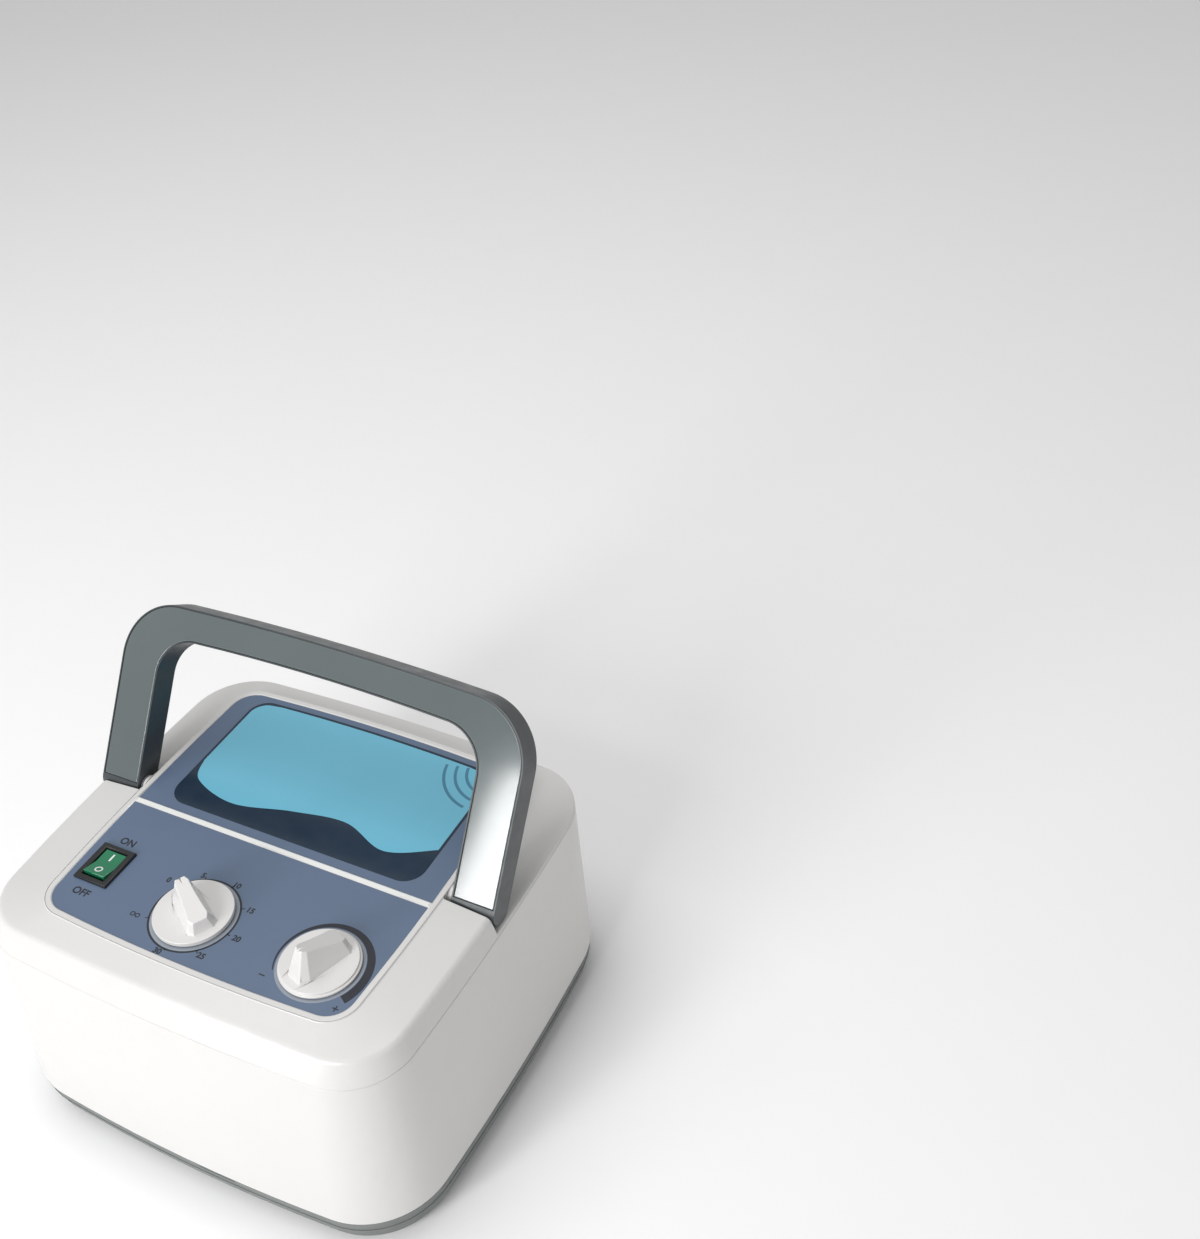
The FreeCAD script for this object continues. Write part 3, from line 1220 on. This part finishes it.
def make_armature():
    """The sliding bar, its rod, the clamp plates each side of each membrane, and the two magnets in it."""
    half_length = "(armature_length / 2)"
    bar = block("armature_bar", f"pump_across - {half_length}", f"pump_across + {half_length}",
                "pump_along - armature_thickness / 2", "pump_along + armature_thickness / 2",
                "pump_axis - armature_height / 2", "pump_axis + armature_height / 2")
    reach = "(pump_half + membrane_thickness + armature_travel + 2.4)"
    shaft = rod("armature_shaft", "x", f"pump_across - {reach}", f"pump_across + {reach}", "rod_radius",
                along="pump_along", up="pump_axis")
    plates = []
    clear = "(armature_travel + 0.3)"
    for sign in "-+":
        for name, start, end in (("inner", f"pump_half - {clear} - 1.2", f"pump_half - {clear}"),
                                 ("outer", f"pump_half + membrane_thickness + {clear}",
                                  f"pump_half + membrane_thickness + {clear} + 1.2")):
            low, high = (start, end) if sign == "+" else (end, start)
            plates.append(rod(f"clamp_{name}_{'right' if sign == '+' else 'left'}", "x",
                              f"pump_across {sign} ({low})", f"pump_across {sign} ({high})", "8",
                              along="pump_along", up="pump_axis"))
    magnets = []
    pockets = []
    for i, start in enumerate((-16, 6), start=1):
        edges = (f"pump_across + {start}", f"pump_across + {start} + 10",
                 "pump_along - armature_thickness / 2", "pump_along + armature_thickness / 2",
                 "pump_axis - 6", "pump_axis + 6")
        magnets.append(block(f"magnet_{i}", *edges))
        pockets.append(block(f"magnet_pocket_{i}", *edges))
    node("pump_armature", cut("armature", join("armature_solid", bar, shaft, *plates), *pockets))
    node("armature_magnets", group("magnets", magnets))


# ---- air distributor ----

PORT_SHIFTS = [step * size("port_spacing") for step in (-1.5, -0.5, 0.5, 1.5)]


def make_distributor():
    """Geared motor on the tray, shaft, ported body, rotor disc and cap with the supply nipple."""
    at = ("distributor_across", "distributor_along")
    motor_top = "motor_top"
    stator_top = "stator_top"
    motor = rod("motor_can", "z", "motor_base", motor_top, "motor_radius", *at)
    motor_bore = rod("motor_bore", "z", f"{motor_top} - 8", f"{motor_top} + 1",
                     "shaft_radius + running_clearance", *at)
    node("distributor_motor", cut("motor", motor, motor_bore))

    stator = rod("stator_block", "z", motor_top, stator_top, "stator_radius", *at)
    shaft_bore = rod("stator_bore", "z", f"{motor_top} - 1", f"{stator_top} + 1",
                     "shaft_radius + running_clearance", *at)
    pipes = []
    ports = []
    middle = "port_height"
    for i, shift in enumerate(PORT_SHIFTS, start=1):
        across = f"distributor_across + {shift}"
        pipes.append(rod(f"stator_pipe_{i}", "y", "distributor_along + 10", "distributor_along + stator_radius + 6",
                         "nipple_radius", across=across, up=middle))
        ports.append(rod(f"stator_port_{i}", "y", "distributor_along + 7", "distributor_along + stator_radius + 7",
                         "1", across=across, up=middle))
        ports.append(rod(f"stator_drop_{i}", "z", middle, f"{stator_top} + 1", "1", across,
                         f"distributor_along + {math.sqrt(size('port_circle') ** 2 - shift ** 2):.3f}"))
    node("distributor_body", cut("stator", join("stator_solid", stator, *pipes), shaft_bore, *ports))

    rotor = rod("rotor_disc", "z", f"{stator_top} + 0.1", f"{stator_top} + 0.1 + rotor_thickness",
                "rotor_radius", *at)
    port = rod("rotor_port", "z", f"{stator_top} - 1", f"{stator_top} + 9", "1.4",
               "distributor_across", "distributor_along + port_circle")
    hub = rod("rotor_hub", "z", f"{stator_top} - 1", f"{stator_top} + 9", "shaft_radius", *at)
    node("distributor_rotor", cut("rotor", rotor, port, hub))
    node("distributor_shaft", rod("rotor_shaft", "z", f"{motor_top} - 7.5", f"{stator_top} + rotor_thickness",
                                  "shaft_radius", *at))

    cap = rod("cap_block", "z", stator_top, f"{stator_top} + cap_height", "stator_radius", *at)
    room = rod("cap_room", "z", f"{stator_top} - 1", f"{stator_top} + cap_height - 3", "rotor_radius + 1", *at)
    nipple = rod("cap_nipple", "z", f"{stator_top} + cap_height - 1", f"{stator_top} + cap_height + 10",
                 "nipple_radius", *at)
    nipple_bore = rod("cap_nipple_bore", "z", f"{stator_top} + cap_height - 4",
                      f"{stator_top} + cap_height + 11", "1.1", *at)
    node("distributor_cap", cut("cap", join("cap_solid", cap, nipple), room, nipple_bore))
    corner = f"(stator_radius - cap_screw_inset) * {math.sqrt(0.5):.4f}"
    heads = [rod(f"cap_screw_{i}", "z", f"{stator_top} + cap_height", f"{stator_top} + cap_height + 1.6",
                 "1.8", f"distributor_across {side} {corner}", f"distributor_along {end} {corner}")
             for i, (side, end) in enumerate((("+", "+"), ("-", "+"), ("-", "-"), ("+", "-")), start=1)]
    node("distributor_screws", group("cap_screws", heads))


# ---- rear wall fittings ----

def make_outlets():
    """The panel in the rear bay, four hose sockets through it, and the seals behind their collars."""
    half_width, half_height = "outlet_bay_width / 2 - 0.3", "outlet_bay_height / 2 - 0.3"
    plate = block("outlet_plate", f"outlet_across - ({half_width})", f"outlet_across + ({half_width})",
                  "bay_floor", "bay_floor + 2", f"outlet_height - ({half_height})",
                  f"outlet_height + ({half_height})")
    holes = [rod(f"plate_hole_{i}", "y", "bay_floor - 1", "bay_floor + 3", "outlet_tube", across=centre,
                 up="outlet_height") for i, centre in enumerate(outlet_places(), start=1)]
    screw_places = [f"(outlet_across {side} outlet_spacing)" for side in "-+"]
    holes += [rod(f"plate_screw_hole_{i}", "y", "bay_floor - 1", "bay_floor + 3", "screw_radius",
                  across=centre, up="outlet_height + 9") for i, centre in enumerate(screw_places, start=1)]
    node("outlet_panel", cut("outlet_plate_cut", plate, *holes))
    sockets = []
    seals = []
    for i, centre in enumerate(outlet_places(), start=1):
        low = "bay_floor + 6 - outlet_length"
        tube = rod(f"socket_tube_{i}", "y", low, "bay_floor + 6", "outlet_tube", across=centre,
                   up="outlet_height")
        collar = rod(f"socket_collar_{i}", "y", "bay_floor + 2", "bay_floor + 4", "outlet_tube + 1.4",
                     across=centre, up="outlet_height")
        tail = rod(f"socket_tail_{i}", "y", f"{low} - 7", f"{low} + 1", "nipple_radius", across=centre,
                   up="outlet_height")
        bore = rod(f"socket_bore_{i}", "y", f"{low} + 2", "bay_floor + 7", "outlet_bore", across=centre,
                   up="outlet_height")
        tail_bore = rod(f"socket_tail_bore_{i}", "y", f"{low} - 10", f"{low} + 3", "1.1", across=centre,
                        up="outlet_height")
        sockets.append(cut(f"socket_{i}", join(f"socket_solid_{i}", tube, collar, tail), bore, tail_bore))
        seals.append(ring(f"seal_{i}", "y", "bay_floor - wall - 1.6", "bay_floor - wall", "outlet_tube + 1.8",
                          "outlet_tube", across=centre, up="outlet_height"))
    node("outlet_sockets", group("sockets", sockets))
    node("outlet_seals", group("seals", seals))
    heads = [rod(f"outlet_screw_{i}", "y", "bay_floor + 2", "bay_floor + 3.6", "screw_head_radius",
                 across=centre, up="outlet_height + 9") for i, centre in enumerate(screw_places, start=1)]
    node("outlet_screws", group("outlet_screw_set", heads))


def make_power_inlet():
    """Two pin mains inlet let into the rear wall, with a fuse carrier beside the pins."""
    flange = block("inlet_flange", "inlet_across - 16", "inlet_across + 16", "bay_floor", "bay_floor + 2.4",
                   "inlet_height - 11", "inlet_height + 11")
    case = block("inlet_case", "inlet_across - 12", "inlet_across + 12", "bay_floor - 16", "bay_floor + 1",
                 "inlet_height - 8", "inlet_height + 8")
    well = [rod(f"inlet_well_{i}", "y", "bay_floor - 9", "bay_floor + 4", "4.3",
                across=f"inlet_across {side} inlet_pin_spacing / 2", up="inlet_height")
            for i, side in enumerate("-+", start=1)]
    bridge = block("inlet_well_bridge", "inlet_across - inlet_pin_spacing / 2",
                   "inlet_across + inlet_pin_spacing / 2", "bay_floor - 9", "bay_floor + 4",
                   "inlet_height - 4", "inlet_height + 4")
    bores = [rod(f"inlet_pin_bore_{i}", "y", "bay_floor - 20", "bay_floor", "1.2",
                 across=f"inlet_across {side} inlet_pin_spacing / 2", up="inlet_height")
             for i, side in enumerate("-+", start=1)]
    node("power_inlet", cut("inlet", join("inlet_solid", flange, case), *well, bridge, *bores))
    pins = [rod(f"inlet_pin_{i}", "y", "bay_floor - 19", "bay_floor - 1", "1.2",
                across=f"inlet_across {side} inlet_pin_spacing / 2", up="inlet_height")
            for i, side in enumerate("-+", start=1)]
    node("inlet_pins", group("pins_of_inlet", pins))
    base = block("terminal_base", "inlet_across - terminal_half", "inlet_across + terminal_half",
                 "terminal_along - terminal_width / 2", "terminal_along + terminal_width / 2", "tray_floor",
                 "tray_floor + terminal_height")
    screws = [rod(f"terminal_screw_{i}", "z", "tray_floor + terminal_height",
                  "tray_floor + terminal_height + 1.2", "2", f"inlet_across + {step} * terminal_half * 4 / 7",
                  "terminal_along") for i, step in enumerate((-1, 0, 1), start=1)]
    node("terminal_block", base)
    node("terminal_screws", group("terminal_screw_set", screws))


# ---- fasteners and feet ----

def make_fasteners():
    """Cover screws up the posts, tray screws from below, and the four push-in rubber feet."""
    def cover_screw(name, across, along):
        head = rod(name + "_head", "z", "post_shelf - screw_head_height", "post_shelf", "screw_head_radius",
                   across, along)
        shank = rod(name + "_shank", "z", "post_shelf - 0.5", "post_shelf + 20", "screw_radius - 0.1",
                    across, along)
        return join(name, head, shank)

    def tray_screw(name, across, along):
        shelf = "(foot_height + 10)"
        head = rod(name + "_head", "z", f"{shelf} - screw_head_height", shelf, "screw_head_radius",
                   across, along)
        shank = rod(name + "_shank", "z", f"{shelf} - 0.5", f"{shelf} + 14", "screw_radius - 0.1",
                    across, along)
        return join(name, head, shank)

    def foot(name, across, along):
        pad_part = cone(name + "_pad", "0", "foot_height", "foot_radius - 1", "foot_radius", across, along)
        stem = rod(name + "_stem", "z", "foot_height - 0.5", "tray_floor + 0.2", "foot_stem_radius", across, along)
        barb = cone(name + "_barb", "tray_floor + 0.1", "tray_floor + 2.6", "foot_stem_radius + 0.8",
                    "foot_stem_radius - 0.6", across, along)
        return join(name, pad_part, stem, barb)

    node("cover_screws", group("cover_screw_set", at_points("cover_screw", corner_points(), cover_screw)))
    node("tray_screws", group("tray_screw_set", at_points("tray_screw", tray_screw_points(), tray_screw)))
    node("rubber_feet", group("foot_set", at_points("foot", foot_points(), foot)))


# ---- hoses and leads ----

def bent_path(name, points):
    """A wire along points: straight runs joined by arcs as large as the runs allow."""
    corners = [Vector(*point) for point in points]
    edges = []
    last = corners[0]
    for before, corner, after in zip(corners, corners[1:], corners[2:]):
        run_in = corner - before
        run_out = after - corner
        turn = run_in.getAngle(run_out)
        setback = 0.45 * min(run_in.Length, run_out.Length)
        radius = setback / math.tan(turn / 2)
        unit_in = Vector(run_in).normalize()
        unit_out = Vector(run_out).normalize()
        start = corner - unit_in * setback
        end = corner + unit_out * setback
        knee = corner + (unit_out - unit_in).normalize() * (math.hypot(radius, setback) - radius)
        edges.append(Part.LineSegment(last, start).toShape())
        edges.append(Part.Arc(start, knee, end).toShape())
        last = end
    edges.append(Part.LineSegment(last, corners[-1]).toShape())
    return Part.Wire(edges)


def swept(path, start, direction, radius):
    """A round section of that radius along a path."""
    section = Part.Wire([Part.Circle(start, direction, radius).toShape()])
    return path.makePipeShell([section], True, True)


def tube(name, points, radius, bore=None):
    """A hose, or a lead when it has no bore, through points."""
    path = bent_path(name, points)
    start = Vector(*points[0])
    direction = (Vector(*points[1]) - start).normalize()
    shape = swept(path, start, direction, radius)
    if bore:
        shape = shape.cut(swept(path, start, direction, bore))
    thing = doc.addObject("Part::Feature", name)
    thing.Shape = shape
    return thing


def hose(name, points):
    return tube(name, points, size("hose_radius"), size("nipple_radius"))


def make_hoses():
    """Hoses from the pump's heads by two tees to the distributor, the valve and the four outlets."""
    reach = size("pump_half") + size("membrane_thickness") + size("head_length") / 2
    left = size("pump_across") - reach
    right = size("pump_across") + reach
    pump_y = size("pump_along")
    head_top = size("pump_axis") + size("head_width") / 2 + 2
    cap_top = size("stator_top") + size("cap_height") + 2
    line_x = size("distributor_across")
    line_z = size("regulator_low") + 6
    rotor_y = size("distributor_along")
    valve_end = size("pressure_along") + size("regulator_radius") + 2
    tee_x = size("timer_across") + 30.9
    tee_y = valve_end + 23
    runs = {
        "left_head_hose": [(left, pump_y, head_top), (left, pump_y, line_z + 2), (-40, tee_y + 18, line_z + 2),
                           (-10, tee_y, line_z), (tee_x - 6, tee_y, line_z)],
        "right_head_hose": [(right, pump_y, head_top), (right, pump_y, line_z + 1), (tee_x, tee_y + 28, line_z),
                            (tee_x, tee_y + 6, line_z)],
        "joining_hose": [(tee_x + 6, tee_y, line_z), (line_x - 6, tee_y, line_z)],
        "supply_hose": [(line_x, tee_y + 6, line_z), (line_x, rotor_y, line_z), (line_x, rotor_y, cap_top)],
        "valve_hose": [(line_x, tee_y - 6, line_z), (line_x, valve_end, line_z)],
    }
    node("pressure_hoses", group("pressure_hose_set", [hose(name, points) for name, points in runs.items()]))
    tees = [make_tee("heads_tee", tee_x, tee_y, line_z, 0), make_tee("valve_tee", line_x, tee_y, line_z, 90)]
    node("hose_tees", group("tee_set", tees))
    pipe_end = rotor_y + size("stator_radius") + 1
    tail_end = size("bay_floor") + 6 - size("outlet_length") - 1
    height = size("outlet_height")
    outlets = []
    for shift, step in zip(PORT_SHIFTS, (-1.5, -0.5, 0.5, 1.5)):
        start_x = line_x + shift
        end_x = size("outlet_across") + step * size("outlet_spacing")
        outlets.append([(start_x, pipe_end, height), (start_x, pipe_end + 11, height),
                        (end_x, tail_end - 12, height), (end_x, tail_end, height)])
    made = [hose(f"outlet_hose_{i}", points) for i, points in enumerate(outlets, start=1)]
    node("outlet_hoses", group("outlet_hose_set", made))


def make_tee(name, x, y, z, turn):
    """A tee with its run along X and its branch along +Y, turned about the vertical."""
    run = rod(name + "_run", "x", "-11", "11", "nipple_radius")
    branch = rod(name + "_branch", "y", "0", "11", "nipple_radius")
    hub = rod(name + "_hub", "z", "-3.6", "3.6", "3.6")
    run_bore = rod(name + "_run_bore", "x", "-12", "12", "1")
    branch_bore = rod(name + "_branch_bore", "y", "0", "12", "1")
    tee = cut(name, join(name + "_solid", run, branch, hub), run_bore, branch_bore)
    tee.Placement = Placement(Vector(x, y, z), Rotation(Vector(0, 0, 1), turn))
    return tee


def make_leads():
    """Mains leads from the inlet's pins to the terminal block, and up from it to the switch."""
    inlet_x = size("inlet_across")
    inlet_y = size("bay_floor") - 19
    inlet_z = size("inlet_height")
    block_z = size("tray_floor") + size("terminal_height") / 2
    block_y = size("terminal_along")
    block_left = inlet_x - size("terminal_half")
    block_front = block_y - size("terminal_width") / 2
    switch_x, switch_y = size("switch_across"), size("switch_along")
    blade_end = size("panel_height") - size("switch_depth") - size("terminal_length")
    wall_lane = size("wall") + 13 - size("housing_half")
    leads = []
    for i, shift in enumerate((-1, 1), start=1):
        pin_x = inlet_x + shift * size("inlet_pin_spacing") / 2
        lane = wall_lane + 1.8 * shift
        side_y = block_y + 3 * shift
        leads.append(tube(f"inlet_lead_{i}", [
            (pin_x, inlet_y, inlet_z), (pin_x, inlet_y - 6, inlet_z),
            (pin_x - 2, inlet_y - 6, inlet_z - 14 - 3 * shift), (lane, inlet_y - 8, block_z + 6 - 3 * shift),
            (lane, inlet_y - 50, block_z), (lane + 2, side_y, block_z), (block_left, side_y, block_z)],
            size("lead_radius")))
        blade_y = switch_y - 3 + 3 * shift
        leads.append(tube(f"switch_lead_{i}", [
            (inlet_x + 4 * shift, block_front, block_z), (inlet_x + 4 * shift, blade_y, block_z),
            (switch_x, blade_y, blade_end - 42), (switch_x, blade_y, blade_end)], size("lead_radius")))
    node("mains_leads", group("mains_lead_set", leads))


make_top_cover()
make_main_housing()
make_base_tray()
make_panels()
make_handle()
make_switch()
make_timer()
make_regulator()
make_pump()
make_distributor()
make_outlets()
make_power_inlet()
make_fasteners()
make_hoses()
make_leads()
doc.recompute()

failed = [thing.Name for thing in doc.Objects if "Invalid" in thing.State or "Error" in thing.State]
if failed:
    raise RuntimeError(f"these failed: {failed}")
os.makedirs("parts", exist_ok=True)
for thing in NODES:
    shape = thing.Shape
    if shape.isNull() or not shape.isValid():
        raise RuntimeError(f"{thing.Label} has no valid shape")
    shape.exportStep(f"parts/{thing.Label}.step")
    print(f"{thing.Label}: {len(shape.Solids)} solid(s), {shape.Volume / 1000:.2f} cm3")
print(len(NODES), "sub-parts")
